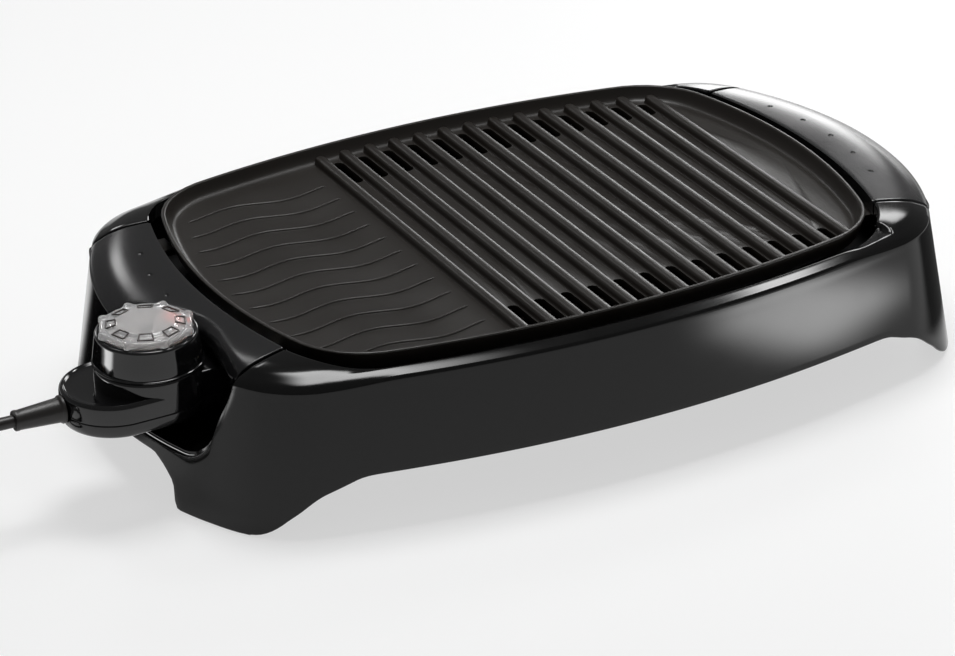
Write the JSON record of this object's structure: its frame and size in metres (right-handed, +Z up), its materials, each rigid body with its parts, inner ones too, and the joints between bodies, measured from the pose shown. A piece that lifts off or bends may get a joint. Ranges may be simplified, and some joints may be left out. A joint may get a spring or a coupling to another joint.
{
  "type": "electric countertop grill",
  "caption": "Open electric countertop grill: ribbed and flat non-stick plate lifting out of a moulded base over a drip tray, with a plug-in dial heat control and coiled cord.",
  "frame": {"origin": "on the table, under the centre of the box of the grill with its control plugged in, without the free cord", "axes": "+X along the length, away from the control; -Y to the front; +Z up"},
  "size_m": [0.8534, 0.3888, 0.1257],
  "materials": {
    "shell_gloss": "high-gloss black moulding",
    "handle_satin": "fine-grained satin charcoal",
    "frame_plastic": "matt black",
    "rubber_pad": "matt black rubber",
    "nonstick": "dark warm-grey non-stick coating with a fine speckle",
    "tray_coated": "coated steel, satin",
    "steel": "plain",
    "element_steel": "heat-darkened sheath",
    "ceramic": "glazed ceramic",
    "brass": "plain",
    "clear_dial": "clear polished acrylic",
    "pale_insert": "pale grey printed disc",
    "lamp": "translucent orange-red",
    "cord_rubber": "matt dark grey-brown",
    "plug_plastic": "satin black"
  },
  "bodies": {
    "base": {"base_shell": "shell_gloss", "tray_support": "frame_plastic", "support_screws": "steel", "foot_pads": "rubber_pad"},
    "plate": {"grill_plate": "nonstick", "left_handle": "handle_satin", "right_handle": "handle_satin", "handle_screws": "steel", "heating_element": "element_steel", "element_clamps": "steel", "clamp_screws": "steel", "terminal_pins": "steel", "terminal_bushes": "ceramic", "terminal_guard": "steel"},
    "tray": {"drip_tray": "tray_coated"},
    "control": {"control_upper_housing": "shell_gloss", "control_lower_housing": "shell_gloss", "dial_tower": "shell_gloss", "light_ring": "pale_insert", "indicator_lamp": "lamp", "thermostat_frame": "steel", "bimetal_blade": "brass", "female_terminals": "brass", "probe_rod": "steel", "control_screws": "steel", "strain_relief": "cord_rubber", "power_cord": "cord_rubber", "cord_coil": "cord_rubber", "cord_tie": "cord_rubber", "plug_body": "plug_plastic", "plug_blades": "brass", "plug_ground_pin": "brass"},
    "dial": {"dial_cap": "clear_dial", "dial_insert": "pale_insert", "dial_shaft": "steel"}
  },
  "joints": [
    {"name": "plate_lift", "type": "slide", "parent": "base", "child": "plate", "axis": [0, 0, 1], "range_m": [0, 0.12]},
    {"name": "tray_lift", "type": "slide", "parent": "base", "child": "tray", "axis": [0, 0, 1], "range_m": [0, 0.075]},
    {"name": "control_unplug", "type": "slide", "parent": "plate", "child": "control", "axis": [-1, 0, 0], "range_m": [0, 0.07]},
    {"name": "dial_turn", "type": "hinge", "parent": "control", "child": "dial", "pos_m": [-0.25424, -0.055, 0.12], "axis": [0, 0, 1], "range_deg": [-270, 0]}
  ],
  "couplings": [
    {"joint": "tray_lift", "follows": "plate_lift", "ratio": 0.6}
  ]
}
